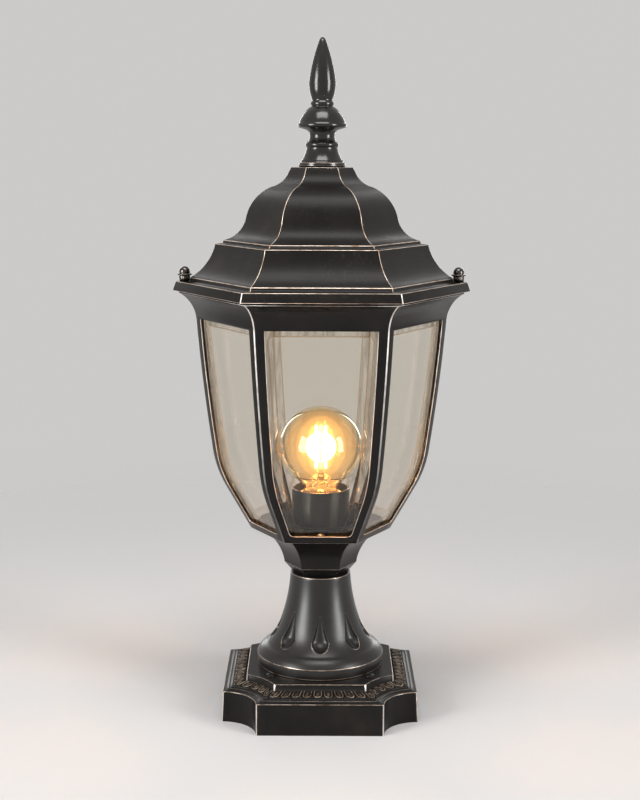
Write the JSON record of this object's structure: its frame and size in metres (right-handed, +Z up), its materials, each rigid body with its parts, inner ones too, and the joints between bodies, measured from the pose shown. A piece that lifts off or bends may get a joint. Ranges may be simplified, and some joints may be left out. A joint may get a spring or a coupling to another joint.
{
  "type": "pillar lamp",
  "caption": "Pillar-top lantern: six-sided cast cage with curved bevelled panes, ogee roof and turned finial, on a fluted trumpet column and a notched square base.",
  "frame": {"origin": "centre of the base, on the ground", "axes": "+Z up along the lamp; -Y is the front, square to a flat side of the lantern and of the base; lantern corners on the X axis"},
  "size_m": [0.2128, 0.1842, 0.4823],
  "materials": {
    "cast_paint": "satin antique black enamel on cast metal, edges rubbed back to copper gold",
    "tray_paint": "black enamel on pressed sheet",
    "dark_screw": "polished dark bronze, turned",
    "zinc_steel": "bright zinc plate",
    "brass": "plain brass",
    "cap_metal": "plated screw cap",
    "pane_glass": "clear bevelled glass",
    "amber_glass": "clear amber-tinted lamp glass",
    "stem_glass": "clear glass stem",
    "filament": "glowing filament",
    "black_sleeve": "satin black sleeve",
    "porcelain": "glazed white porcelain",
    "black_insulator": "black glass insulator",
    "terminal_plastic": "moulded terminal block"
  },
  "bodies": {
    "lantern": {"mounting_plate": "zinc_steel", "base": "cast_paint", "base_screws": "dark_screw", "column": "cast_paint", "cup": "cast_paint", "threaded_tube": "zinc_steel", "tube_nuts": "zinc_steel", "tube_washers": "zinc_steel", "terminal_block": "terminal_plastic", "terminal_screws": "brass", "earth_screw": "brass", "cage": "cast_paint", "cage_screws": "zinc_steel", "tray": "tray_paint", "tray_screws": "zinc_steel", "glass_pane_1": "pane_glass", "glass_pane_2": "pane_glass", "glass_pane_3": "pane_glass", "glass_pane_4": "pane_glass", "glass_pane_5": "pane_glass", "glass_pane_6": "pane_glass", "pane_clips": "brass", "clip_screws": "zinc_steel", "holder_sleeve": "black_sleeve", "holder_body": "porcelain", "screw_shell": "brass", "centre_contact": "brass"},
    "roof": {"roof": "cast_paint", "finial": "cast_paint", "finial_stud": "zinc_steel", "finial_nut": "zinc_steel"},
    "screw_left": {"roof_screw_left": "dark_screw"},
    "screw_right": {"roof_screw_right": "dark_screw"},
    "bulb": {"bulb_glass": "amber_glass", "bulb_stem": "stem_glass", "bulb_filaments": "filament", "bulb_cap": "cap_metal", "bulb_insulator": "black_insulator", "bulb_tip": "cap_metal"}
  },
  "joints": [
    {"name": "roof_lift", "type": "slide", "parent": "lantern", "child": "roof", "axis": [0, 0, 1], "range_m": [0, 0.15]},
    {"name": "roof_screw_left_turn", "type": "hinge", "parent": "roof", "child": "screw_left", "pos_m": [-0.0976, 0, 0.306], "axis": [0, 0, 1], "continuous": true},
    {"name": "roof_screw_right_turn", "type": "hinge", "parent": "roof", "child": "screw_right", "pos_m": [0.0976, 0, 0.306], "axis": [0, 0, 1], "continuous": true},
    {"name": "bulb_turn", "type": "hinge", "parent": "lantern", "child": "bulb", "pos_m": [0, 0, 0.163], "axis": [0, 0, 1], "continuous": true}
  ]
}
